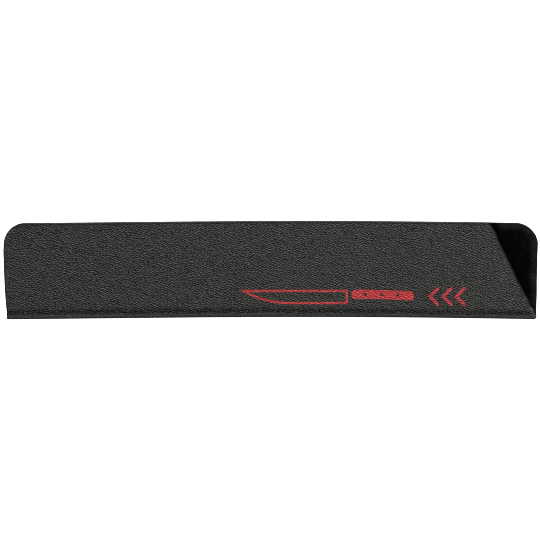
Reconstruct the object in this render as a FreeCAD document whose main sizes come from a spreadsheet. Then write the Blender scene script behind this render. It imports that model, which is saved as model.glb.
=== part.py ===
import FreeCAD, Part
import math
import os
import Sketcher

# Blade guard for a kitchen knife: a die-cut sheet of grained plastic with a flock
# lining on its inner face, folded double and hot-pressed along the fold.
#
# Frame: the guard lies on its back, +Z up. X runs along the blade with the mouth at
# +X, Y runs up the leaves from the fold at -Y to the open edge at +Y. The origin is in
# the middle of the bounding box, on the surface that the back leaf rests on.
# Millimetres.

doc = FreeCAD.newDocument("blade_guard")

# ---------------------------------------------------------------- driving dimensions
DIMENSIONS = [
    ("half_len", 107.5, "half the overall length, to the ends of the leaves"),
    ("crest_y", 19.75, "crest of the bowed open edge, above the origin"),
    ("crest_rad", 5600.0, "radius of the bow of the open edge"),
    ("fold_y", 19.18, "mean line of the fold, below the origin"),
    ("keel_y", 18.89, "middle of the bowed fold edge, below the origin"),
    ("keel_rad", 6600.0, "radius of the bow of the fold edge"),
    ("sheet_thk", 1.0, "plastic sheet"),
    ("flock_thk", 0.5, "flock lining"),
    ("blade_gap", 1.6, "free slot between the linings"),
    ("strip_thk", 2.2, "hot-pressed fold, two sheets and the crushed lining"),
    ("strip_hgt", 1.6, "top of the pressed strip, above the fold line"),
    ("flank_run", 2.2, "height over which the shoulders splay out to the leaves"),
    ("fold_rad", 0.65, "rounding of the fold's outer edges"),
    ("corner_rad", 8.75, "rounded outer corners of the leaves"),
    ("foot_left", 106.05, "left end of the fold, from the middle"),
    ("foot_right", 106.87, "right end of the fold, from the middle"),
    ("left_knee", 4.0, "height where the left edge starts to lean in"),
    ("right_knee", 9.5, "height where the right edge starts to lean in"),
    ("mouth_x", 88.5, "upper end of the slanted mouth cut of the front leaf"),
    ("mouth_y", 18.69, "height of that point"),
    ("mouth_lean", 0.5045, "lean of the mouth cut, mm of X per mm of Y"),
    ("bead_play", 0.05, "radial play of the front leaf's bead in the front shoulder"),
    ("lining_inset", 0.25, "lining stands back from the die-cut edge"),
    ("lining_foot", 4.2, "front lining starts this far above the fold line"),
    ("vee_end", 3.75, "front arm of the fold lining ends this far above the fold line"),
    ("rim_rad", 0.3, "rolled die-cut rim of the outer faces"),
]
sheet = doc.addObject("Spreadsheet::Sheet", "Sheet")
for row, (alias, value, note) in enumerate(DIMENSIONS, start=1):
    sheet.set(f"A{row}", alias)
    sheet.set(f"B{row}", str(value))
    sheet.setAlias(f"B{row}", alias)
    sheet.set(f"C{row}", note)
doc.recompute()


class Dim:
    """A dimension: its number, and the expression that binds it to the sheet."""

    def __init__(self, value, text):
        self.value, self.text = float(value), text

    def _with(self, other, sign, value):
        return Dim(value, f"({self.text} {sign} {as_dim(other).text})")

    def __add__(self, other):
        return self._with(other, "+", self.value + as_dim(other).value)

    def __sub__(self, other):
        return self._with(other, "-", self.value - as_dim(other).value)

    def __mul__(self, other):
        return self._with(other, "*", self.value * as_dim(other).value)

    def __truediv__(self, other):
        return self._with(other, "/", self.value / as_dim(other).value)

    def __neg__(self):
        return Dim(-self.value, f"(0 - {self.text})")


def as_dim(x):
    return x if isinstance(x, Dim) else Dim(x, repr(float(x)))


def root(x):
    return Dim(math.sqrt(x.value), f"sqrt({x.text})")


class Sizes:
    pass


P = Sizes()
for alias, value, note in DIMENSIONS:
    setattr(P, alias, Dim(sheet.get(alias), "Sheet." + alias))

# ---------------------------------------------------------------- the cross-section
# Heights above the fold line are called "up"; z is measured from the back face.
total = P.sheet_thk * 2 + P.flock_thk * 2 + P.blade_gap
mid = total / 2
strip_lo = mid - P.strip_thk / 2
strip_hi = mid + P.strip_thk / 2
flank_drop = total - strip_hi
flank_len = root(P.flank_run * P.flank_run + flank_drop * flank_drop)
cosf = P.flank_run / flank_len
sinf = flank_drop / flank_len
grade = flank_drop / P.flank_run


def flank_up(offset, z):
    """Where the line a given depth inside the front shoulder's outer face is at height z."""
    return P.strip_hgt + sinf * offset + (z - strip_hi + cosf * offset) / grade


vee_up = flank_up(P.sheet_thk, mid)  # the two sheets part here
vee_lined = flank_up(P.sheet_thk + P.flock_thk, mid)  # the two linings part here
bend_up = flank_up(P.sheet_thk, total - P.sheet_thk)  # inner bend, shoulder to leaf
pivot_up = flank_up(P.sheet_thk / 2, total - P.sheet_thk / 2)  # mid-sheet bend
pivot_z = total - P.sheet_thk / 2
bead_rad = P.sheet_thk / 2
cove_rad = bead_rad + P.bead_play
cove_half = root(cove_rad * cove_rad - bead_rad * bead_rad)

left_lean = (P.half_len - P.foot_left) / (P.left_knee + P.fold_y)
right_lean = (P.half_len - P.foot_right) / (P.right_knee + P.fold_y)


def left_x(y):
    return -P.half_len + (P.left_knee - y) * left_lean


def right_x(y):
    return P.half_len - (P.right_knee - y) * right_lean


def mouth_cut_x(y):
    return P.mouth_x + (P.mouth_y - y) * P.mouth_lean


def crest(x, inset=None):
    rad = P.crest_rad if inset is None else P.crest_rad - inset
    return P.crest_y - P.crest_rad + root(rad * rad - x * x)


# ---------------------------------------------------------------- helpers
def origin_plane(body, role):
    return [f for f in body.Origin.OriginFeatures if f.Role == role][0]


def new_body(label):
    body = doc.addObject("PartDesign::Body", label)
    body.Label = label
    return body


def profile(body, name, role, offset, corners, arcs=()):
    """A closed, fully dimensioned sketch. corners are (Dim, Dim) in order; arcs maps an
    edge's index to (radius, side), where side is +1 if the arc is run counterclockwise."""
    arcs = dict(arcs)
    sk = body.newObject("Sketcher::SketchObject", name)
    sk.AttachmentSupport = [(origin_plane(body, role), "")]
    sk.MapMode = "FlatFace"
    if offset is not None:
        sk.AttachmentOffset = FreeCAD.Placement(
            FreeCAD.Vector(0, 0, offset.value), FreeCAD.Rotation()
        )
        sk.setExpression("AttachmentOffset.Base.z", offset.text)
    pts = [FreeCAD.Vector(a.value, b.value, 0) for a, b in corners]
    edges = []
    for i, start in enumerate(pts):
        end = pts[(i + 1) % len(pts)]
        if i not in arcs:
            edges.append((sk.addGeometry(Part.LineSegment(start, end)), 1, 2))
            continue
        radius, side = arcs[i]
        chord = end - start
        half = chord.Length / 2
        normal = FreeCAD.Vector(-chord.y, chord.x, 0).normalize()
        height = math.sqrt(max(radius.value**2 - half**2, 0.0))
        centre = (start + end) * 0.5 + normal * (height * side)
        a = math.atan2(start.y - centre.y, start.x - centre.x)
        b = math.atan2(end.y - centre.y, end.x - centre.x)
        if side < 0:
            a, b = b, a
        if b < a:
            b += 2 * math.pi
        circle = Part.Circle(centre, FreeCAD.Vector(0, 0, 1), radius.value)
        geo = sk.addGeometry(Part.ArcOfCircle(circle, a, b))
        edges.append((geo, 1, 2) if side > 0 else (geo, 2, 1))
    for i, (geo, first, last) in enumerate(edges):
        nxt, nfirst, _ = edges[(i + 1) % len(edges)]
        sk.addConstraint(Sketcher.Constraint("Coincident", geo, last, nxt, nfirst))
    for i, (geo, first, last) in enumerate(edges):
        for kind, size in (("DistanceX", corners[i][0]), ("DistanceY", corners[i][1])):
            if size.value >= 0:
                con = Sketcher.Constraint(kind, -1, 1, geo, first, size.value)
                text = size.text
            else:
                con = Sketcher.Constraint(kind, geo, first, -1, 1, -size.value)
                text = f"0 - {size.text}"
            n = sk.addConstraint(con)
            sk.setExpression(f"Constraints[{n}]", text)
        if i in arcs:
            n = sk.addConstraint(Sketcher.Constraint("Radius", geo, arcs[i][0].value))
            sk.setExpression(f"Constraints[{n}]", arcs[i][0].text)
    return sk


def pad(body, name, sketch, length):
    feature = body.newObject("PartDesign::Pad", name)
    feature.Profile = sketch
    feature.Length = length.value
    feature.setExpression("Length", length.text)
    doc.recompute()
    return feature


def round_edges(body, name, base, radius, test):
    """A fillet on the edges of base that pass the test."""
    names = [
        f"Edge{i}" for i, e in enumerate(base.Shape.Edges, start=1) if test(e)
    ]
    if not names:
        raise RuntimeError(f"{name}: no edge to round")
    feature = body.newObject("PartDesign::Fillet", name)
    feature.Base = (base, names)
    feature.Radius = radius.value
    feature.setExpression("Radius", radius.text)
    doc.recompute()
    return feature


def upright(e):
    a, b = e.Vertexes[0].Point, e.Vertexes[-1].Point
    return abs(a.x - b.x) < 1e-6 and abs(a.y - b.y) < 1e-6 and abs(a.z - b.z) > 1e-3


def at_corner(x_sign):
    def test(e):
        p = e.Vertexes[0].Point
        return upright(e) and p.y > 18.0 and p.x * x_sign > 100.0

    return test


def on_level(z, above_y):
    def test(e):
        pts = [v.Point for v in e.Vertexes]
        centre = e.CenterOfMass
        return all(abs(p.z - z) < 1e-6 for p in pts) and centre.y > above_y

    return test


# ---------------------------------------------------------------- back leaf
# The flat outer leaf that the guard lies on, square to the shoulder it grows out of.
foot = bend_up - P.fold_y
back_leaf = new_body("back_leaf")
sk = profile(
    back_leaf,
    "back_leaf_outline",
    "XY_Plane",
    None,
    [
        (left_x(foot), foot),
        (right_x(foot), foot),
        (P.half_len, P.right_knee),
        (P.half_len, crest(P.half_len)),
        (-P.half_len, crest(P.half_len)),
        (-P.half_len, P.left_knee),
    ],
    {3: (P.crest_rad, 1)},
)
f = pad(back_leaf, "back_leaf_plate", sk, P.sheet_thk)
f = round_edges(back_leaf, "back_leaf_left_corner", f, P.corner_rad, at_corner(-1))
f = round_edges(back_leaf, "back_leaf_right_corner", f, P.corner_rad, at_corner(1))
round_edges(back_leaf, "back_leaf_rim", f, P.rim_rad, on_level(0.0, foot.value + 0.1))

# ---------------------------------------------------------------- front leaf
# The same leaf with the slanted mouth cut, and a round bead along its foot on the line
# where the sheet bends.
pivot_y = pivot_up - P.fold_y
front_leaf = new_body("front_leaf")
sk = profile(
    front_leaf,
    "front_leaf_outline",
    "XY_Plane",
    total - P.sheet_thk,
    [
        (left_x(pivot_y), pivot_y),
        (mouth_cut_x(pivot_y), pivot_y),
        (P.mouth_x + (P.mouth_y - crest(P.mouth_x)) * P.mouth_lean, crest(P.mouth_x)),
        (-P.half_len, crest(P.half_len)),
        (-P.half_len, P.left_knee),
    ],
    {2: (P.crest_rad, 1)},
)
f = pad(front_leaf, "front_leaf_plate", sk, P.sheet_thk)
f = round_edges(front_leaf, "front_leaf_corner", f, P.corner_rad, at_corner(-1))
f = round_edges(
    front_leaf, "front_leaf_rim", f, P.rim_rad, on_level(total.value, pivot_y.value + 0.1)
)
sk = profile(
    front_leaf,
    "front_leaf_bead_outline",
    "YZ_Plane",
    left_x(pivot_y),
    [
        (pivot_y, pivot_z + bead_rad),
        (pivot_y - bead_rad, pivot_z),
        (pivot_y, pivot_z - bead_rad),
    ],
    {0: (bead_rad, 1), 1: (bead_rad, 1)},
)
pad(front_leaf, "front_leaf_bead", sk, mouth_cut_x(pivot_y) - left_x(pivot_y))

# ---------------------------------------------------------------- pressed fold
# The hot-pressed strip along the bottom, bowed, with a rounded outer edge.
keel_l, keel_r = P.foot_left, P.foot_right
top = P.strip_hgt - P.fold_y


def keel(x):
    return root(P.keel_rad * P.keel_rad - x * x) - P.keel_rad - P.keel_y


fold_strip = new_body("fold_strip")
sk = profile(
    fold_strip,
    "fold_strip_outline",
    "XY_Plane",
    strip_lo,
    [(-keel_l, keel(keel_l)), (keel_r, keel(keel_r)), (keel_r, top), (-keel_l, top)],
    {0: (P.keel_rad, -1)},
)
f = pad(fold_strip, "fold_strip_plate", sk, P.strip_thk)
round_edges(
    fold_strip,
    "fold_strip_round",
    f,
    P.fold_rad,
    lambda e: e.Length > 200 and e.CenterOfMass.y < top.value - 0.5,
)

# ---------------------------------------------------------------- shoulders
# Where the two sheets leave the pressed strip and splay out to the leaves.
span = P.foot_left + P.foot_right
up0 = P.strip_hgt - P.fold_y
back_shoulder = new_body("back_shoulder")
sk = profile(
    back_shoulder,
    "back_shoulder_outline",
    "YZ_Plane",
    -P.foot_left,
    [
        (up0, strip_lo),
        (up0 + P.flank_run, as_dim(0.0)),
        (foot, as_dim(0.0)),
        (foot, P.sheet_thk),
        (vee_up - P.fold_y, mid),
        (up0, mid),
    ],
)
pad(back_shoulder, "back_shoulder_bar", sk, span)

front_shoulder = new_body("front_shoulder")
sk = profile(
    front_shoulder,
    "front_shoulder_outline",
    "YZ_Plane",
    -P.foot_left,
    [
        (up0, mid),
        (vee_up - P.fold_y, mid),
        (
            pivot_y + sinf * bead_rad - cosf * cove_half,
            pivot_z - cosf * bead_rad - sinf * cove_half,
        ),
        (
            pivot_y - sinf * bead_rad - cosf * cove_half,
            pivot_z + cosf * bead_rad - sinf * cove_half,
        ),
        (up0, strip_hi),
    ],
    {2: (cove_rad, -1)},
)
f = pad(front_shoulder, "front_shoulder_bar", sk, span)
before = f.Shape.Volume
reach = P.foot_right + 1.0
sk = profile(
    front_shoulder,
    "front_shoulder_mouth_outline",
    "XY_Plane",
    None,
    [
        (mouth_cut_x(pivot_y + 0.7), pivot_y + 0.7),
        (reach, P.mouth_y - (reach - P.mouth_x) / P.mouth_lean),
        (reach, pivot_y + 0.7),
    ],
)
cut = front_shoulder.newObject("PartDesign::Pocket", "front_shoulder_mouth")
cut.Profile = sk
cut.Type = "ThroughAll"
cut.Reversed = True
doc.recompute()
if not 0.2 < before - cut.Shape.Volume < 4.0:
    raise RuntimeError("the mouth cut missed the front shoulder")

# ---------------------------------------------------------------- linings
low = P.lining_foot - P.fold_y
i_in = P.lining_inset
back_lining = new_body("back_lining")
sk = profile(
    back_lining,
    "back_lining_outline",
    "XY_Plane",
    P.sheet_thk,
    [
        (left_x(foot) + i_in, foot),
        (right_x(foot) - i_in, foot),
        (P.half_len - i_in, P.right_knee),
        (P.half_len - i_in, crest(P.half_len - i_in, i_in)),
        (-(P.half_len - i_in), crest(P.half_len - i_in, i_in)),
        (-(P.half_len - i_in), P.left_knee),
    ],
    {3: (P.crest_rad - i_in, 1)},
)
f = pad(back_lining, "back_lining_layer", sk, P.flock_thk)
lined_rad = P.corner_rad - i_in
f = round_edges(back_lining, "back_lining_left", f, lined_rad, at_corner(-1))
round_edges(back_lining, "back_lining_right", f, lined_rad, at_corner(1))

front_lining = new_body("front_lining")
mouth_in = P.mouth_x - i_in * 1.12
sk = profile(
    front_lining,
    "front_lining_outline",
    "XY_Plane",
    total - P.sheet_thk - P.flock_thk,
    [
        (left_x(low) + i_in, low),
        (mouth_cut_x(low) - i_in * 1.12, low),
        (mouth_in, crest(mouth_in, i_in)),
        (-(P.half_len - i_in), crest(P.half_len - i_in, i_in)),
        (-(P.half_len - i_in), P.left_knee),
    ],
    {2: (P.crest_rad - i_in, 1)},
)
f = pad(front_lining, "front_lining_layer", sk, P.flock_thk)
round_edges(front_lining, "front_lining_corner", f, lined_rad, at_corner(-1))

# The lining down in the vee of the fold, where the knife's edge comes to rest.
fold_lining = new_body("fold_lining")
sk = profile(
    fold_lining,
    "fold_lining_outline",
    "YZ_Plane",
    i_in - P.foot_left,
    [
        (vee_up - P.fold_y, mid),
        (foot, P.sheet_thk),
        (foot, mid - (bend_up - vee_lined) * grade),
        (vee_lined - P.fold_y, mid),
        (P.vee_end - P.fold_y, mid + (P.vee_end - vee_lined) * grade),
        (P.vee_end - P.fold_y, mid + (P.vee_end - vee_up) * grade),
    ],
)
pad(fold_lining, "fold_lining_layer", sk, mouth_cut_x(pivot_y) - i_in * 2 + P.foot_left)

# ---------------------------------------------------------------- check and write
doc.recompute()
NODES = [
    back_leaf,
    front_leaf,
    fold_strip,
    back_shoulder,
    front_shoulder,
    back_lining,
    front_lining,
    fold_lining,
]
bad = [o.Label for o in doc.Objects if {"Invalid", "Error"} & set(o.State)]
if bad:
    raise RuntimeError("failed objects: " + ", ".join(bad))
for node in NODES:
    shape = node.Shape
    if shape.isNull() or not shape.isValid() or len(shape.Solids) != 1:
        raise RuntimeError(f"{node.Label}: not one valid solid")

os.makedirs("parts", exist_ok=True)
for node in NODES:
    node.Shape.exportStep(os.path.join("parts", node.Label + ".step"))
    b = node.Shape.BoundBox
    print(
        f"{node.Label}: {node.Shape.Volume:.2f} mm3, x {b.XMin:.3f}..{b.XMax:.3f}, "
        f"y {b.YMin:.3f}..{b.YMax:.3f}, z {b.ZMin:.3f}..{b.ZMax:.3f}"
    )
print(
    f"pivot y {pivot_y.value:.4f} z {pivot_z.value:.4f}, vee {vee_up.value:.3f}, "
    f"lined vee {vee_lined.value:.3f}, bend {bend_up.value:.3f}"
)
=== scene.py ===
import math

import bmesh
import bpy
import numpy as np
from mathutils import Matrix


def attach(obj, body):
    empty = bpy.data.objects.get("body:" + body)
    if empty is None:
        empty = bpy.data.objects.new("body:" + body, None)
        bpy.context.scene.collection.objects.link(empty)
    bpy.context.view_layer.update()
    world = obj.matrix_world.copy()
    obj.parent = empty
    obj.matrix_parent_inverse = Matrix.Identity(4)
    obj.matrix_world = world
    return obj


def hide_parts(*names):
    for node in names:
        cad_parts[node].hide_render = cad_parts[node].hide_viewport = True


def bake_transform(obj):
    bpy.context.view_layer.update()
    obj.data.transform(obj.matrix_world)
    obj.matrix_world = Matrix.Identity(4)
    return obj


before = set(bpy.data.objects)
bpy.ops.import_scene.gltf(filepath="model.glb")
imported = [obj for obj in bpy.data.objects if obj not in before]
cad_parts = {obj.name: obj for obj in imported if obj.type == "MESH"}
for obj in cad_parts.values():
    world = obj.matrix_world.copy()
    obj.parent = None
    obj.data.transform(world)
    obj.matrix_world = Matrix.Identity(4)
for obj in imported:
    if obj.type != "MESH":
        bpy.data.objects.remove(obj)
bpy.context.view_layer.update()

MM = 0.001

# --------------------------------------------------------------------------- camera
# Straight down on the front leaf, fold at the bottom of the picture.
FIELD = 0.21750  # metres across the picture at the height of the front leaf
DIST = 1.5
cam_data = bpy.data.cameras.new("camera")
cam_data.sensor_width = 36.0
cam_data.lens = 36.0 * DIST / FIELD
cam_data.clip_start, cam_data.clip_end = 0.01, 50.0
cam = bpy.data.objects.new("camera", cam_data)
cam.location = (-0.00040, 0.00004, DIST + 0.0041)
bpy.context.scene.collection.objects.link(cam)
bpy.context.scene.camera = cam

# --------------------------------------------------------------------------- outline
# Millimetres. v is the height above the fold edge, measured in the guard straightened
# out; bow() lifts the middle of the whole guard.
FOLD_Y = -18.92
V_TOP = 38.77
HALF = 107.6
CORNER = 8.75
TOTAL = 4.6
SHEET = 1.0
FLOCK = 0.5
MID = TOTAL / 2
STRIP_HALF = 1.1


def bow(x):
    return np.polyval(
        [2.1176e-09, -2.4743e-07, -1.00808e-04, 2.91945e-03, -0.0209], x
    )


def ramp(a, b, t):
    t = np.clip((t - a) / (b - a), 0.0, 1.0)
    return t * t * (3.0 - 2.0 * t)


def left_line(v):
    x = -HALF - 0.05 + np.maximum(0.0, 27.7 - np.maximum(v, 2.6)) ** 2 / 504.0
    return x - 0.12 * np.exp(-(((v - 26.9) / 2.2) ** 2))


def right_line(v):
    x = HALF - np.maximum(0.0, 29.6 - v) * 0.0217
    return x + 0.20 * np.exp(-(((v - 32.0) / 3.6) ** 2)) + 0.11 * np.exp(-(((v - 10.0) / 3.5) ** 2))


def mouth_line(v):
    x = np.full_like(np.asarray(v, float), 100.0)
    for _ in range(12):
        y = v + FOLD_Y + bow(x)
        x = 88.21 + (18.69 - y) * 0.5045
    # cut a little full near the open edge and a little hollow lower down
    x = x + 0.42 * np.exp(-(((y - 15.4) / 2.3) ** 2)) + 0.16 * ramp(1.0, 6.0, y)
    return x - 0.20 * np.exp(-(((y + 4.9) / 3.2) ** 2)) + 0.12 * np.exp(-(((y + 11.8) / 1.6) ** 2))


def corner_in(v, inset):
    """How far the rounded outer corner pulls the end of a row in."""
    r = CORNER - inset
    t = np.clip(v - (V_TOP - CORNER), 0.0, r)
    return r - np.sqrt(np.maximum(r * r - t * t, 0.0))


def foot_in(v, r=1.1):
    """The small round at the lower right corner of the fold."""
    t = np.clip(r - v, 0.0, r)
    return r - np.sqrt(np.maximum(r * r - t * t, 0.0))


def left_end(v, inset=0.0):
    return left_line(v) + inset + corner_in(v, inset)


def back_right_end(v, inset=0.0):
    return right_line(v) - inset - corner_in(v, inset) - foot_in(v)


def front_right_end(v, inset=0.0):
    return np.minimum(mouth_line(v) - inset * 1.12, right_line(v) - inset - foot_in(v))


def edge_distance(x, v, side, inset=0.0):
    """Distance inside the leaf's outline, in mm."""
    top = V_TOP - inset - v
    r = CORNER - inset
    cy = V_TOP - CORNER
    left = x - left_line(v) - inset
    cx = -HALF + CORNER
    d = np.minimum(left, top)
    in_corner = (x < cx) & (v > cy)
    d = np.where(in_corner, r - np.hypot(x - cx, v - cy), d)
    if side == "front":
        d = np.minimum(d, (mouth_line(v) - inset * 1.12 - x) * 0.8926)
        d = np.minimum(d, right_line(v) - inset - x)
    else:
        right = right_line(v) - inset - x
        cx = HALF - CORNER
        in_corner = (x > cx) & (v > cy)
        d = np.minimum(d, np.where(in_corner, r - np.hypot(x - cx, v - cy), right))
    return np.maximum(d, 0.0)


def roll(d, r):
    """Drop of a rolled rim of radius r at distance d inside the outline."""
    t = np.clip(r - d, 0.0, r)
    return r - np.sqrt(np.maximum(r * r - t * t, 0.0))


# --------------------------------------------------------------------------- noise
rng = np.random.RandomState(41)
TABLE = rng.rand(6, 512, 512)


def lattice(ix, iy, k):
    return TABLE[k, np.mod(ix, 512).astype(int), np.mod(iy, 512).astype(int)]


def noise(x, y, k=0):
    """Smooth value noise from -1 to 1, one cell per unit."""
    ix, iy = np.floor(x), np.floor(y)
    fx, fy = x - ix, y - iy
    fx = fx * fx * fx * (fx * (fx * 6 - 15) + 10)
    fy = fy * fy * fy * (fy * (fy * 6 - 15) + 10)
    a = lattice(ix, iy, k) * (1 - fx) + lattice(ix + 1, iy, k) * fx
    b = lattice(ix, iy + 1, k) * (1 - fx) + lattice(ix + 1, iy + 1, k) * fx
    return (a * (1 - fy) + b * fy) * 2.0 - 1.0


PITCH_X, PITCH_Y = 1.22, 0.81
SLANT = math.radians(30.0)  # of the long way of the pebbles to the fold
LOOSE = 0.65  # how far the pebbles stray from even rows
ROUND = 0.43  # distance from a crease, in cells, at which a pebble is level


def grain_cells(x, y):
    """Plan position in pebbles, wandering so that the rows of pebbles don't line up."""
    c, s = math.cos(SLANT), math.sin(SLANT)
    u, w = x * c + y * s, y * c - x * s
    gx = u / PITCH_X + 0.41 * noise(u / 4.3, w / 2.9, 0) + 0.10 * noise(u / 1.9, w / 1.5, 1)
    gy = w / PITCH_Y + 0.50 * noise(u / 3.9 + 9, w / 3.1, 2) + 0.17 * noise(u / 1.8, w / 1.6 + 5, 3)
    # each row starts past the middle of a pebble in the row below it
    gx = gx + 0.6 * gy + 0.2 * noise(w / 1.7 + 3, u / 9.0, 5)
    return gx, gy


def crease_group():
    ng = bpy.data.node_groups.new("crease_probe", "GeometryNodeTree")
    ng.interface.new_socket("Geometry", in_out="INPUT", socket_type="NodeSocketGeometry")
    ng.interface.new_socket("Geometry", in_out="OUTPUT", socket_type="NodeSocketGeometry")
    enter, leave = ng.nodes.new("NodeGroupInput"), ng.nodes.new("NodeGroupOutput")
    at = ng.nodes.new("GeometryNodeInputPosition")
    cells = ng.nodes.new("ShaderNodeTexVoronoi")
    cells.voronoi_dimensions, cells.feature = "2D", "DISTANCE_TO_EDGE"
    cells.inputs["Scale"].default_value = 1.0
    cells.inputs["Randomness"].default_value = LOOSE
    keep = ng.nodes.new("GeometryNodeStoreNamedAttribute")
    keep.data_type, keep.domain = "FLOAT", "POINT"
    keep.inputs["Name"].default_value = "crease"
    ng.links.new(enter.outputs[0], keep.inputs["Geometry"])
    ng.links.new(at.outputs[0], cells.inputs["Vector"])
    ng.links.new(cells.outputs["Distance"], keep.inputs["Value"])
    ng.links.new(keep.outputs[0], leave.inputs[0])
    return ng


CREASES = crease_group()


def crease_distance(gx, gy):
    """Distance to the nearest crease between pebbles, in cells."""
    n = gx.size
    co = np.zeros((n, 3), np.float32)
    co[:, 0], co[:, 1] = gx.ravel() + 0.08, gy.ravel() + 0.08
    me = bpy.data.meshes.new("probe")
    me.vertices.add(n)
    me.vertices.foreach_set("co", co.ravel())
    ob = bpy.data.objects.new("probe", me)
    bpy.context.scene.collection.objects.link(ob)
    ob.modifiers.new("creases", "NODES").node_group = CREASES
    out = np.zeros(n, np.float32)
    seen = ob.evaluated_get(bpy.context.evaluated_depsgraph_get()).data
    seen.attributes["crease"].data.foreach_get("value", out)
    bpy.data.objects.remove(ob)
    bpy.data.meshes.remove(me)
    return out.reshape(gx.shape)


def pebble_height(e):
    t = np.clip(e / ROUND, 0.0, 1.0)
    return t * (2.0 - t)


# --------------------------------------------------------------------------- meshes
class Shell:
    """A closed skin: grids of points sewn together along their borders."""

    def __init__(self):
        self.points, self.faces, self.uv = [], [], []
        self.data = {}
        self.n = 0

    def grid(self, xyz, uv, flip=False, **data):
        """uv is one map of the grid, or two and the column where the second takes over."""
        rows, cols = xyz.shape[:2]
        index = np.arange(rows * cols).reshape(rows, cols) + self.n
        self.points.append(xyz.reshape(-1, 3))
        for key, value in data.items():
            self.data.setdefault(key, []).append((self.n, value.reshape(-1)))
        self.n += rows * cols
        a, b = index[:-1, :-1].ravel(), index[:-1, 1:].ravel()
        c, d = index[1:, 1:].ravel(), index[1:, :-1].ravel()
        quads = np.stack((a, b, c, d) if flip else (a, d, c, b), 1)
        self.faces.extend(quads.tolist())
        place = quads - index[0, 0]
        one, two, split = uv if isinstance(uv, tuple) else (uv, uv, cols)
        later = np.tile(np.arange(cols - 1) >= split, rows - 1)[:, None, None]
        corner = np.where(later, two.reshape(-1, 2)[place], one.reshape(-1, 2)[place])
        self.uv.append(corner.reshape(-1, 2))
        return index

    def sew(self, one, two, band, flip=False):
        """Triangles between two chains of points. band is the chains' strip of the map."""
        co = np.concatenate(self.points)
        p, q = co[one], co[two]
        u0, v0, u1, v1 = band

        def along(c):
            s = np.r_[0.0, np.cumsum(np.linalg.norm(np.diff(c, axis=0), axis=1))]
            return s / max(s[-1], 1e-9)

        sp, sq = along(p), along(q)
        place = {}
        for k, i in enumerate(one):
            place[("p", i)] = (u0 + (u1 - u0) * sp[k], v0)
        for k, i in enumerate(two):
            place[("q", i)] = (u0 + (u1 - u0) * sq[k], v1)
        i = j = 0
        uv = []
        while i < len(one) - 1 or j < len(two) - 1:
            step_p = i < len(one) - 1 and (
                j == len(two) - 1
                or np.linalg.norm(p[i + 1] - q[j]) <= np.linalg.norm(p[i] - q[j + 1])
            )
            if step_p:
                tri = [("p", one[i]), ("p", one[i + 1]), ("q", two[j])]
                i += 1
            else:
                tri = [("p", one[i]), ("q", two[j + 1]), ("q", two[j])]
                j += 1
            if flip:
                tri.reverse()
            self.faces.append([int(t[1]) for t in tri])
            uv.extend(place[t] for t in tri)
        self.uv.append(np.array(uv, float).reshape(-1, 2))

    def build(self, name, sharp=None):
        co = np.concatenate(self.points)
        me = bpy.data.meshes.new(name)
        me.from_pydata((co * MM).tolist(), [], self.faces)
        layer = me.uv_layers.new(name="OFBake")
        layer.data.foreach_set(
            "uv", np.concatenate(self.uv).astype(np.float32).ravel()
        )
        for key, chunks in self.data.items():
            values = np.zeros(self.n, np.float32)
            for start, part in chunks:
                values[start : start + len(part)] = part
            me.attributes.new(key, "FLOAT", "POINT").data.foreach_set("value", values)
        me.polygons.foreach_set("use_smooth", np.ones(len(me.polygons), bool))
        me.validate()
        me.update()
        # every face looks outwards
        bm = bmesh.new()
        bm.from_mesh(me)
        bmesh.ops.recalc_face_normals(bm, faces=bm.faces)
        if bm.calc_volume(signed=True) < 0.0:
            bmesh.ops.reverse_faces(bm, faces=bm.faces)
        bm.to_mesh(me)
        bm.free()
        if sharp is not None:
            me.set_sharp_from_angle(angle=math.radians(sharp))
        ob = bpy.data.objects.new(name, me)
        bpy.context.scene.collection.objects.link(ob)
        return ob


def spaced(first, last, step, near=(), far=()):
    """Stations from first to last, crowded at the two ends."""
    sign = 1.0 if last > first else -1.0
    head = [first + sign * t for t in near]
    tail = [last - sign * t for t in far][::-1]
    a, b = head[-1] if head else first, tail[0] if tail else last
    count = max(2, int(round(abs(b - a) / step)) + 1)
    middle = np.linspace(a, b, count)
    return np.array(head[:-1] + middle.tolist() + tail[1:])


CROWD = (0.0, 0.025, 0.075, 0.15, 0.26, 0.4, 0.58, 0.8)


def lay(rows_v, left, right, columns):
    """Plan positions of a grid: columns are fractions from the left to the right end."""
    v = rows_v[:, None]
    l, r = left(rows_v)[:, None], right(rows_v)[:, None]
    near = np.array(columns)[None, :]
    x = l + near * (r - l)
    return x, np.broadcast_to(v, x.shape)


def column_stations(step):
    span = 213.0
    return spaced(0.0, span, step, CROWD, CROWD) / span


# Height of the front sheet's outer face above the pressed strip: a foot, a steep rise
# and a long rounded shoulder.
_v = np.linspace(0.0, 7.0, 701)
_g = ramp(1.4, 2.65, _v) * (1.0 - ramp(2.8, 5.05, _v))
_z = np.cumsum(_g)
_z = _z / _z[-1]


def shoulder(v):
    return np.interp(v, _v, _z)


def crush(x):
    """How far the pressing tool wandered along the fold."""
    slow = 0.22 * noise(x / 7.0, x * 0 + 3.3, 0) + 0.13 * noise(x / 2.3, x * 0 + 8.1, 1)
    return slow + 0.10 * noise(x / 0.95, x * 0 + 5.7, 2) + 0.20 * ramp(-25.0, 15.0, x)


GRAIN = 0.09
SIDES = 0.275
SINK = 0.02


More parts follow.
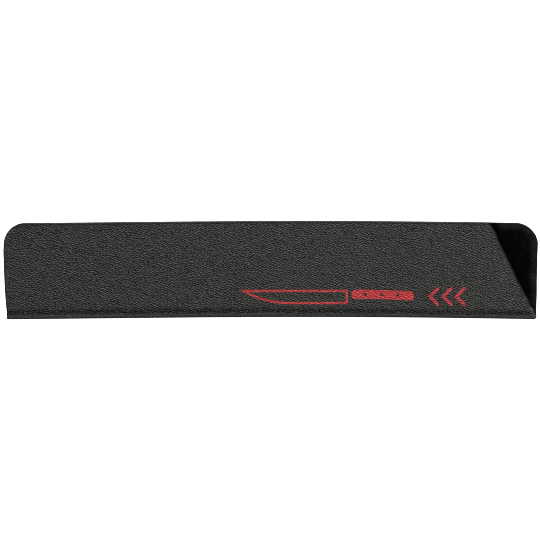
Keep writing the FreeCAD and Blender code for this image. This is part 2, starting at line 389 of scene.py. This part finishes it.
def outer_face(x, v, side):
    """Distance of the outer face from the mid plane, and the fields its finish uses."""
    seed = 0.0 if side == "front" else 231.7
    vs = v + crush(x + seed)
    rise = shoulder(vs)
    d = edge_distance(x, v, side)
    gx, gy = grain_cells(x + 150.0 + seed, v + 40.0)
    h = pebble_height(crease_distance(gx, gy))
    press = ramp(1.5, 2.3, vs)
    band = np.interp(vs, _v, _g)
    depth = GRAIN * (0.22 + (0.78 - 0.06 * band) * press)
    depth = depth * (0.12 + 0.88 * ramp(0.15, 1.15, d))
    if side == "back":
        depth = depth * ramp(0.9, 1.4, v)
    z = STRIP_HALF + (MID - STRIP_HALF) * rise
    z = z - depth * (1.0 - h) - SINK
    # drag marks of the tool along the strip
    z = z + 0.022 * (1.0 - press) * ramp(0.65, 0.95, v) * noise(x / 1.9 + v * 1.1 + seed, v / 0.55, 4)
    z = z - roll(d, 0.12) - roll(V_TOP - v, 0.28)
    return z, h, depth, d, gx, gy, band


def sheet_uv(columns, way):
    """Two strips, the left and the right half of the guard, one above the other."""
    split = int(np.argmin(np.abs(columns - 0.5)))
    f, g = np.broadcast_arrays(columns[None, :], (way / way[-1])[:, None])
    one = np.stack((0.01 + 0.98 * f / columns[split], 0.01 + 0.385 * g), -1)
    two = np.stack((0.01 + 0.98 * (f - columns[split]) / (1.0 - columns[split]), 0.405 + 0.385 * g), -1)
    return one, two, split


def to_world(x, v, z):
    return np.stack((x, v + FOLD_Y + bow(x), np.broadcast_to(z, x.shape)), -1)


FRONT_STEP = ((0.40, 0.27))
BACK_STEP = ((0.72, 0.34))


def sewn_sheet(name, side, step, fold_rows):
    sh = Shell()
    cols = column_stations(step[0])
    right = front_right_end if side == "front" else back_right_end
    sign = 1.0 if side == "front" else -1.0
    # outer face, from the open edge down to the pressed strip
    low = 0.65 if side == "front" else 0.9
    rows = np.r_[
        spaced(V_TOP, 4.7, step[1], CROWD),
        spaced(4.7, low, min(step[1], 0.17))[1:],
    ]
    x, v = lay(rows, left_end, right, cols)
    z, h, depth, d, gx, gy, band = outer_face(x, v, side)
    s_all = np.r_[V_TOP - rows]
    pts = [to_world(x, v, MID + sign * z)]
    fields = [(h, depth, d, gx, gy, band)]
    dist = [s_all]
    if fold_rows:
        # round the bottom of the fold and up the back of the strip
        a = np.linspace(0.0, math.pi / 2, 7)[1:]
        r = 0.65
        vz = [(r - r * math.sin(t), STRIP_HALF - r + r * math.cos(t)) for t in a]
        vz += [(0.0, 0.12), (0.0, -0.12)]
        vz += [(r - r * math.cos(t), -(STRIP_HALF - r) - r * math.sin(t)) for t in np.r_[0.0, a]]
        vz += [(0.78, -STRIP_HALF), (0.9, -STRIP_HALF)]
        fv = np.array([p[0] for p in vz])
        fz = np.array([p[1] for p in vz])
        xf, vf = lay(fv, left_end, right, cols)
        df = np.minimum(xf - left_line(vf), right_line(vf) - xf)
        # the grain runs on round the fold by the length of the way
        way = rows[-1] - np.cumsum(np.r_[math.hypot(rows[-1] - fv[0], STRIP_HALF - fz[0]), np.hypot(np.diff(fv), np.diff(fz))])
        gxf, gyf = grain_cells(xf + 150.0, np.broadcast_to(way[:, None], xf.shape) + 40.0)
        hf = pebble_height(crease_distance(gxf, gyf))
        # the strip's last rows meet the back sheet without grain
        fade = np.where(fz < 0, ramp(0.9, 0.6, fv), 1.0)[:, None] * np.ones_like(xf)
        deepf = 0.22 * GRAIN * fade
        zf = fz[:, None] * (1.0 - (roll(np.maximum(df, 0), 0.28) + SINK + deepf * (1.0 - hf)) / STRIP_HALF)
        pts.append(to_world(xf, vf, MID + zf))
        fields.append((hf, deepf, np.maximum(df, 0), gxf, gyf, np.zeros_like(xf)))
        step_len = np.r_[0.0, np.hypot(np.diff(fv), np.diff(fz))]
        dist.append(dist[0][-1] + 0.1 + np.cumsum(step_len))
    P = np.concatenate(pts, 0)
    H, DEEP, DD, GX, GY, BAND = (np.concatenate([f[k] for f in fields], 0) for k in range(6))
    # distance from the slanted cut at the mouth, whose edge shows the pile; a band of painted shade runs along it
    PV = P[..., 1] - FOLD_Y - bow(P[..., 0])
    LIP = np.maximum(V_TOP - PV, 0.0)
    RIM = np.where(LIP < 3.0, np.maximum(DD, np.where(DD > LIP - 0.05, 9.0, DD)), DD)
    CUT = (mouth_line(PV) - P[..., 0]) * 0.8926 if side == "front" else np.full(P.shape[:2], 9.0)
    near = CUT * 1.0
    CUT = CUT + 2.0 * ramp(5.2, 3.4, PV) + 0.20 * noise(P[..., 0] / 0.9, PV / 0.8, 5)
    # the strip's right end has no border, and the cut's foot is smooth, with a painted highlight on it
    RIM = np.where((P[..., 0] > 100.0) & (PV < 4.6), 9.0, RIM)
    SMOOTH_FOOT_HIGHLIGHT = ramp(1.7, 0.8, near) * ramp(0.0, 0.4, near) * ramp(5.0, 4.0, PV) * ramp(0.9, 1.7, PV)
    S = np.concatenate(dist)
    uv = sheet_uv(cols, S)
    # printed mark, as a distance field in mm; it is only on the front
    ink = print_field(P[..., 0], P[..., 1]) if side == "front" else np.full(P.shape[:2], 9.0)
    outer = sh.grid(
        P, uv, flip=(side == "back"), pebble=H, deep=DEEP / GRAIN, rim=RIM, lip=LIP, band=BAND, cut=CUT, rub=SMOOTH_FOOT_HIGHLIGHT, ink=ink, grain_x=GX, grain_y=GY
    )
    # inner face, from the open edge down to where the two sheets part
    coarse = column_stations(2.2)
    inner_rows = np.r_[spaced(V_TOP, 5.0, 2.4, (0.0, 0.06, 0.16)), [4.45, 4.09]]
    xi, vi = lay(inner_rows, left_end, right, coarse)
    zi = (MID - SHEET) - 0.0 + roll(edge_distance(xi, vi, side), 0.15)
    flank_v = np.array([3.4, 2.7, 2.05])
    xf, vf = lay(flank_v, left_end, right, coarse)
    zf = (vf - 2.05) / (4.09 - 2.05) * (MID - SHEET)
    Pi = np.concatenate((to_world(xi, vi, MID + sign * zi), to_world(xf, vf, MID + sign * zf)), 0)
    Si = np.linspace(0, 1, Pi.shape[0])[:, None] * np.ones(Pi.shape[1])[None, :]
    Ui = 0.01 + 0.98 * np.linspace(0, 1, Pi.shape[1])[None, :] * np.ones(Pi.shape[0])[:, None]
    uvi = np.stack((Ui, 0.80 + 0.10 * Si), -1)
    zero = np.zeros(Pi.shape[:2])
    inner = sh.grid(
        Pi, uvi, flip=(side == "front"), pebble=zero + 0.5, deep=zero, rim=zero, lip=zero + 9.0, band=zero, cut=zero + 9.0, rub=zero, ink=zero + 9.0, grain_x=zero, grain_y=zero
    )
    f = side == "back"
    sh.sew(outer[0, :], inner[0, :], (0.01, 0.915, 0.99, 0.925), flip=not f)
    sh.sew(outer[-1, :], inner[-1, :], (0.01, 0.935, 0.99, 0.945), flip=f)
    sh.sew(outer[:, 0], inner[:, 0], (0.01, 0.955, 0.48, 0.965), flip=f)
    sh.sew(outer[:, -1], inner[:, -1], (0.52, 0.955, 0.99, 0.965), flip=not f)
    return sh.build(name, sharp=62.0)


# --------------------------------------------------------------------------- print
def box_field(x, y, cx, cy, hx, hy, r=0.0):
    dx, dy = np.abs(x - cx) - hx + r, np.abs(y - cy) - hy + r
    return np.hypot(np.maximum(dx, 0), np.maximum(dy, 0)) + np.minimum(np.maximum(dx, dy), 0) - r


def stroke(x, y, ax, ay, bx, by, half):
    px, py, qx, qy = x - ax, y - ay, bx - ax, by - ay
    t = np.clip((px * qx + py * qy) / (qx * qx + qy * qy), 0, 1)
    return np.hypot(px - qx * t, py - qy * t) - half


def print_field(x, y):
    """A plain pictogram: a knife going in point first, and chevrons the same way."""
    # blade: spine above, belly sweeping up to the point on the left
    spine = y + 7.9
    heel = x - 31.0
    belly = -(y + 13.7) + 5.8 * np.clip((-x + 8.0) / 20.5, 0, 1) ** 2.2
    tip = -(x + 12.5)
    blade = np.maximum.reduce([spine, heel, belly, tip])
    blade = np.maximum(blade, -0.95 - blade)
    # handle with a gap at the bolster, and rivets left bare
    drop = 0.00125 * (x - 33.0) ** 2
    handle = box_field(x, y + drop, 45.0, -9.7, 12.6, 1.85, 1.5)
    for cx in (38.0, 44.5, 51.0):
        handle = np.maximum(handle, 0.62 - np.hypot(x - cx, y + 0.00125 * (cx - 33.0) ** 2 + 9.7))
    field = np.minimum(blade, handle)
    for cx in (64.0, 69.3, 74.6):
        field = np.minimum(field, stroke(x, y, cx, -10.6, cx + 3.2, -7.4, 0.62))
        field = np.minimum(field, stroke(x, y, cx, -10.6, cx + 3.2, -13.8, 0.62))
    return field


# --------------------------------------------------------------------------- flock
def flock_layer(name, side, step):
    sh = Shell()
    sign = 1.0 if side == "front" else -1.0
    inset = 0.25
    left = lambda v: left_end(v, inset)
    if side == "front":
        right = lambda v: front_right_end(v, inset)
    else:
        right = lambda v: back_right_end(v, inset)
    top = V_TOP - inset
    cols = column_stations(step[0])
    # pile side, from the open edge down into the vee
    crowd = (0.0, 0.03, 0.09, 0.18, 0.32, 0.5)
    rows = spaced(top, 4.24, step[1], crowd)
    x, v = lay(rows, left, right, cols)
    d = edge_distance(x, v, side, inset)
    seed = 11.0 if side == "front" else 57.0
    tuft = noise(x / 0.55 + seed, v / 0.5, 0) * 0.6 + noise(x / 1.3, v / 1.1 + seed, 1) * 0.4
    nap = noise(x / 9.0 + seed, v / 6.0, 2)
    z = (MID - SHEET - FLOCK) + roll(d, 0.34) + 0.045 * tuft * ramp(0.0, 0.5, d) + 0.02 * nap
    fv = np.array([3.95, 3.6, 3.3, 2.98])
    xf, vf = lay(fv, left, right, cols)
    zf = np.maximum((vf - 2.98) / (4.236 - 2.98) * (MID - SHEET - FLOCK), 0.0)
    P = np.concatenate((to_world(x, v, MID + sign * z), to_world(xf, vf, MID + sign * zf)), 0)
    D = np.concatenate((d, np.ones_like(xf)), 0)
    N = np.concatenate((nap, np.zeros_like(xf)), 0)
    T = np.concatenate((tuft, np.zeros_like(xf)), 0)
    S = np.r_[top - rows, top - fv]
    uv = sheet_uv(cols, S)
    # how far out of the mouth a point is; next to the mouth line the pile is painted in the front leaf's shade, and
    # outside it the blade rubs the pile
    PV = P[..., 1] - FOLD_Y - bow(P[..., 0])
    OUT = (P[..., 0] - mouth_line(PV)) * 0.8926 + 1.8 * ramp(14.0, 6.0, PV)
    pile = sh.grid(P, uv, flip=(side == "front"), rim=D, nap=N, tuft=T, out=OUT)
    # glued side
    coarse = column_stations(2.4)
    back_rows = np.r_[spaced(top, 5.0, 2.6), [4.09]]
    xi, vi = lay(back_rows, left, right, coarse)
    zi = np.full_like(xi, MID - SHEET)
    bv = np.array([3.4, 2.7, 2.05])
    xb, vb = lay(bv, left, right, coarse)
    zb = (vb - 2.05) / (4.09 - 2.05) * (MID - SHEET)
    Pi = np.concatenate((to_world(xi, vi, MID + sign * zi), to_world(xb, vb, MID + sign * zb)), 0)
    Si = np.linspace(0, 1, Pi.shape[0])[:, None] * np.ones(Pi.shape[1])[None, :]
    Ui = 0.01 + 0.98 * np.linspace(0, 1, Pi.shape[1])[None, :] * np.ones(Pi.shape[0])[:, None]
    uvi = np.stack((Ui, 0.80 + 0.10 * Si), -1)
    zero = np.zeros(Pi.shape[:2])
    glued = sh.grid(Pi, uvi, flip=(side == "back"), rim=zero, nap=zero, tuft=zero, out=zero)
    f = side == "front"
    sh.sew(pile[0, :], glued[0, :], (0.01, 0.915, 0.99, 0.925), flip=not f)
    sh.sew(pile[-1, :], glued[-1, :], (0.01, 0.935, 0.99, 0.945), flip=f)
    sh.sew(pile[:, 0], glued[:, 0], (0.01, 0.955, 0.48, 0.965), flip=f)
    sh.sew(pile[:, -1], glued[:, -1], (0.52, 0.955, 0.99, 0.965), flip=not f)
    return sh.build(name, sharp=70.0)


# --------------------------------------------------------------------------- finishes
class Nodes:
    def __init__(self, name):
        self.mat = bpy.data.materials.new(name)
        self.mat.use_nodes = True
        self.tree = self.mat.node_tree
        self.tree.nodes.clear()
        self.out = self.tree.nodes.new("ShaderNodeOutputMaterial")
        self.bsdf = self.tree.nodes.new("ShaderNodeBsdfPrincipled")
        self.link(self.bsdf.outputs[0], self.out.inputs["Surface"])

    def link(self, a, b):
        self.tree.links.new(a, b)

    def new(self, kind, **props):
        n = self.tree.nodes.new(kind)
        for key, value in props.items():
            setattr(n, key, value)
        return n

    def attribute(self, name):
        return self.new("ShaderNodeAttribute", attribute_name=name).outputs["Fac"]

    def math(self, op, a, b=None, c=None, clamp=False):
        n = self.new("ShaderNodeMath", operation=op, use_clamp=clamp)
        for socket, value in zip(n.inputs, (a, b, c)):
            if value is None:
                continue
            if hasattr(value, "default_value") or hasattr(value, "is_linked"):
                self.link(value, socket)
            else:
                socket.default_value = value
        return n.outputs[0]

    def span(self, value, a, b, low=0.0, high=1.0):
        n = self.new("ShaderNodeMapRange", interpolation_type="SMOOTHSTEP")
        self.link(value, n.inputs["Value"])
        for key, number in (("From Min", a), ("From Max", b), ("To Min", low), ("To Max", high)):
            n.inputs[key].default_value = number
        return n.outputs["Result"]

    def mix(self, fac, a, b):
        n = self.new("ShaderNodeMix", data_type="RGBA")
        self.link(fac, n.inputs[0])
        for socket, value in ((n.inputs[6], a), (n.inputs[7], b)):
            if isinstance(value, tuple):
                socket.default_value = (*value, 1.0)
            else:
                self.link(value, socket)
        return n.outputs[2]

    def grain(self, coords, scale, detail=2.0, rough=0.5, stretch=(1.0, 1.0, 1.0)):
        m = self.new("ShaderNodeMapping")
        self.link(coords, m.inputs["Vector"])
        m.inputs["Scale"].default_value = stretch
        n = self.new("ShaderNodeTexNoise")
        self.link(m.outputs[0], n.inputs["Vector"])
        n.inputs["Scale"].default_value = scale
        n.inputs["Detail"].default_value = detail
        n.inputs["Roughness"].default_value = rough
        return n.outputs["Fac"]

    def bump(self, height, distance, strength=1.0):
        n = self.new("ShaderNodeBump")
        n.inputs["Distance"].default_value = distance
        n.inputs["Strength"].default_value = strength
        self.link(height, n.inputs["Height"])
        self.link(n.outputs[0], self.bsdf.inputs["Normal"])


def rest_coords(n):
    """The surface's own place at rest, kept with the mesh so a bend doesn't slide it."""
    return n.new("ShaderNodeAttribute", attribute_name="rest").outputs["Vector"]


def grained_sheet():
    n = Nodes("grained_sheet")
    at = rest_coords(n)
    pebble, deep, rim, ink = (n.attribute(k) for k in ("pebble", "deep", "rim", "ink"))
    place = n.new("ShaderNodeCombineXYZ")
    n.link(n.attribute("grain_x"), place.inputs["X"])
    n.link(n.attribute("grain_y"), place.inputs["Y"])
    # creases wander a little on their way round a pebble
    stray = n.new("ShaderNodeTexNoise", noise_dimensions="2D")
    n.link(place.outputs[0], stray.inputs["Vector"])
    stray.inputs["Scale"].default_value = 1.6
    stray.inputs["Detail"].default_value = 1.0
    nudge = n.new("ShaderNodeVectorMath", operation="MULTIPLY_ADD")
    n.link(stray.outputs["Color"], nudge.inputs[0])
    nudge.inputs[1].default_value = (0.16, 0.16, 0.0)
    n.link(place.outputs[0], nudge.inputs[2])
    cells = n.new("ShaderNodeTexVoronoi", voronoi_dimensions="2D", feature="DISTANCE_TO_EDGE")
    n.link(nudge.outputs[0], cells.inputs["Vector"])
    cells.inputs["Scale"].default_value = 1.0
    cells.inputs["Randomness"].default_value = LOOSE
    edge = cells.outputs["Distance"]
    t = n.math("DIVIDE", edge, ROUND, clamp=True)
    height = n.math("MULTIPLY", t, n.math("SUBTRACT", 2.0, t))
    mottle = n.grain(at, 90.0, 3.0)
    fine = n.grain(at, 2600.0, 2.0, 0.6)
    # painted shade darkens the creases between the pebbles, and the creases are duller than the crests
    crease_shade_ramp = n.span(edge, 0.0, 0.24)
    crease_shade_and_mottle = n.math("ADD", n.math("MULTIPLY", crease_shade_ramp, 0.75), n.math("MULTIPLY", mottle, 0.25))
    black = n.mix(crease_shade_and_mottle, (0.0208, 0.0214, 0.0198), (0.0550, 0.0563, 0.0522))
    # painted shade round the shoulder, whose slope faces away from the light; its creases are painted darkest
    shoulder_painted_shade = n.mix(crease_shade_ramp, (0.0122, 0.0125, 0.0117), (0.0325, 0.0332, 0.0310))
    black = n.mix(n.span(n.attribute("band"), 0.1, 0.9), black, shoulder_painted_shade)
    # the hot tool left the strip smoother and a shade darker
    black = n.mix(n.span(deep, 0.75, 0.25), black, (0.0262, 0.0268, 0.0250))
    # ink sits on the crests and breaks up in the creases and along its own edge
    ragged = n.math("ADD", ink, n.math("MULTIPLY", n.math("SUBTRACT", fine, 0.5), 0.5))
    cover = n.span(ragged, 0.10, -0.10)
    cover = n.math("MULTIPLY", cover, n.span(edge, 0.0, 0.14, 0.65, 1.0))
    red = n.mix(mottle, (0.48, 0.034, 0.039), (0.55, 0.041, 0.046))
    face = n.mix(cover, black, red)
    lip = n.attribute("lip")
    line = n.math("MULTIPLY", n.span(lip, 1.30, 0.85), n.span(lip, 0.30, 0.55))
    edging = n.mix(n.span(rim, 0.95, 0.45), face, (0.0115, 0.0117, 0.0112))
    edging = n.mix(line, edging, (0.0125, 0.0127, 0.0121))
    # painted shade in a band along the slanted cut at the mouth
    cut = n.span(n.attribute("cut"), 1.15, -0.1)
    face = n.mix(cut, edging, (0.0008, 0.0008, 0.0008))
    # painted highlight on the smooth foot of the cut; the same mask flattens the grain there
    rub = n.attribute("rub")
    face = n.mix(rub, face, (0.0850, 0.0855, 0.0835))
    n.link(face, n.bsdf.inputs["Base Color"])
    rough = n.math("ADD", n.span(edge, 0.0, 0.3, 0.60, 0.52), n.math("MULTIPLY", n.math("SUBTRACT", fine, 0.5), 0.14))
    dull = n.math("ADD", n.math("MULTIPLY", cut, 0.45), n.math("MULTIPLY", line, 0.2))
    n.link(n.math("ADD", rough, dull), n.bsdf.inputs["Roughness"])
    n.bsdf.inputs["Specular IOR Level"].default_value = 0.3
    # the steep sides of the pebbles, which the mesh only roughs out, and a fine tooth
    # ink fills them in part
    filled = n.math("SUBTRACT", 1.0, n.math("MAXIMUM", n.math("MULTIPLY", cover, 0.4), n.math("MULTIPLY", rub, 0.8)))
    sides = n.math("MULTIPLY", n.math("MULTIPLY", height, filled), n.math("MULTIPLY", deep, SIDES * MM))
    tooth = n.math("MULTIPLY", n.math("SUBTRACT", fine, 0.5), 0.000015)
    n.bump(n.math("ADD", sides, tooth), 1.0, 1.0)
    return n.mat


def flock_pile():
    n = Nodes("flock_pile")
    at = rest_coords(n)
    rim = n.attribute("rim")
    fibre = n.grain(at, 2100.0, 3.0, 0.7)
    cloud = n.grain(at, 190.0, 2.0)
    shade = n.math("ADD", n.math("MULTIPLY", fibre, 0.75), n.math("MULTIPLY", cloud, 0.25))
    # painted shade: the pile next to the mouth, under the edge of the front leaf
    deep = n.mix(n.span(shade, 0.38, 0.68), (0.0001, 0.0001, 0.0001), (0.0010, 0.0011, 0.0010))
    worn = n.mix(n.span(shade, 0.38, 0.68), (0.0001, 0.0001, 0.0001), (0.0045, 0.0046, 0.0044))
    rim_sheen = n.mix(n.span(shade, 0.34, 0.70), (0.0025, 0.0025, 0.0024), (0.0210, 0.0212, 0.0204))
    # the pile is rubbed outside the mouth, and gets a painted sheen towards the cut edge, where it rounds over
    pile = n.mix(n.span(rim, 3.6, 0.9), worn, rim_sheen)
    # deep inside, where no blade or hand reaches it, it is fresh
    fresh = n.mix(n.span(shade, 0.36, 0.68), (0.0010, 0.0010, 0.0010), (0.0125, 0.0127, 0.0122))
    inside = n.mix(n.span(rim, 3.6, 0.9), fresh, rim_sheen)
    out = n.attribute("out")
    # the pile next to the mouth line takes the painted shade
    mouth = n.mix(n.span(out, 0.8, 5.2), deep, pile)
    n.link(n.mix(n.span(out, -2.0, -6.0), mouth, inside), n.bsdf.inputs["Base Color"])
    n.bsdf.inputs["Roughness"].default_value = 1.0
    n.bsdf.inputs["Specular IOR Level"].default_value = 0.02
    n.bsdf.inputs["Sheen Weight"].default_value = 0.006
    n.bsdf.inputs["Sheen Roughness"].default_value = 0.6
    n.bump(n.math("MULTIPLY", fibre, 0.00007), 1.0, 1.0)
    return n.mat


def add_rest(ob):
    me = ob.data
    co = np.zeros(len(me.vertices) * 3, np.float32)
    me.vertices.foreach_get("co", co)
    me.attributes.new("rest", "FLOAT_VECTOR", "POINT").data.foreach_set("vector", co)


# --------------------------------------------------------------------------- pieces
front_sheet = sewn_sheet("front_sheet", "front", FRONT_STEP, True)
back_sheet = sewn_sheet("back_sheet", "back", BACK_STEP, False)
front_flock = flock_layer("front_flock", "front", ((0.7, 0.5)))
back_flock = flock_layer("back_flock", "back", ((0.55, 0.45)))

sheet_mat, pile_mat = grained_sheet(), flock_pile()
for ob, mat, slot in (
    (front_sheet, sheet_mat, "grained_sheet"),
    (back_sheet, sheet_mat, "grained_sheet"),
    (front_flock, pile_mat, "flock"),
    (back_flock, pile_mat, "flock"),
):
    add_rest(ob)
    ob.data.materials.append(mat)

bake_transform(front_sheet)
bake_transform(front_flock)
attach(back_sheet, "back")
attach(back_flock, "back")
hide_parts("front_leaf", "front_shoulder", "fold_strip")
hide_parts("back_leaf", "back_shoulder")
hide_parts("front_lining")
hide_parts("back_lining", "fold_lining")

# --------------------------------------------------------------------------- studio
def floor():
    me = bpy.data.meshes.new("floor")
    s, z = 6.0, -0.00002
    me.from_pydata([(-s, -s, z), (s, -s, z), (s, s, z), (-s, s, z)], [], [(0, 1, 2, 3)])
    ob = bpy.data.objects.new("floor", me)
    bpy.context.scene.collection.objects.link(ob)
    n = Nodes("floor_white")
    at = n.new("ShaderNodeTexCoord").outputs["Object"]
    n.link(n.mix(n.grain(at, 3.0), (0.24, 0.24, 0.24), (0.26, 0.26, 0.26)), n.bsdf.inputs["Base Color"])
    n.bsdf.inputs["Roughness"].default_value = 0.9
    n.bsdf.inputs["Specular IOR Level"].default_value = 0.1
    # a white light table, so the guard throws no shadow
    n.bsdf.inputs["Emission Color"].default_value = (1.0, 1.0, 1.0, 1.0)
    n.bsdf.inputs["Emission Strength"].default_value = 1.05
    me.materials.append(n.mat)


def backdrop():
    """A white wall round the floor, seen behind the guard from low down; it lights nothing."""
    a = np.linspace(0.0, 2.0 * math.pi, 73)[:-1]
    r, top = 5.9, 6.0
    ring = [(r * math.cos(t), r * math.sin(t)) for t in a]
    k = len(ring)
    co = [(x, y, 0.0) for x, y in ring] + [(x, y, top) for x, y in ring]
    me = bpy.data.meshes.new("backdrop")
    me.from_pydata(co, [], [(i, k + i, k + (i + 1) % k, (i + 1) % k) for i in range(k)])
    ob = bpy.data.objects.new("backdrop", me)
    bpy.context.scene.collection.objects.link(ob)
    n = Nodes("backdrop_white")
    at = n.new("ShaderNodeTexCoord").outputs["Object"]
    n.link(n.mix(n.grain(at, 1.0), (0.24, 0.24, 0.24), (0.26, 0.26, 0.26)), n.bsdf.inputs["Base Color"])
    n.bsdf.inputs["Roughness"].default_value = 0.9
    n.bsdf.inputs["Emission Color"].default_value = (1.0, 1.0, 1.0, 1.0)
    n.bsdf.inputs["Emission Strength"].default_value = 1.0
    me.materials.append(n.mat)
    ob.visible_diffuse = ob.visible_glossy = ob.visible_transmission = ob.visible_shadow = False


def lamp(name, where, size, watts, aim=(0.0, 0.0, 0.0), spread=180.0):
    data = bpy.data.lights.new(name, "AREA")
    data.shape = "RECTANGLE"
    data.size, data.size_y = size
    data.energy = watts
    data.spread = math.radians(spread)
    ob = bpy.data.objects.new(name, data)
    ob.location = where
    from mathutils import Vector

    ob.rotation_euler = (Vector(aim) - Vector(where)).to_track_quat("-Z", "Y").to_euler()
    ob.visible_camera = False
    bpy.context.scene.collection.objects.link(ob)
    return ob


floor()
backdrop()
# turned a little to the right, so the mouth end is the brighter one
lamp("key", (-0.06, 0.99, 0.96), (1.0, 0.5), 6.60, (0.35, 0.0, 0.0), 76.0)

world = bpy.data.worlds.new("studio")
bpy.context.scene.world = world
world.use_nodes = True
wt = world.node_tree
bg = wt.nodes["Background"]
bg.inputs["Strength"].default_value = 0.050
bg.inputs["Color"].default_value = (1.0, 1.0, 1.0, 1.0)

# a sharp lens, and no smoothing of the fine grain
bpy.context.scene.cycles.filter_width = 0.9
bpy.context.scene.cycles.use_denoising = False
view = bpy.context.scene.view_settings
view.view_transform = "Standard"
view.look = "None"
view.exposure = 0.0
view.gamma = 1.0
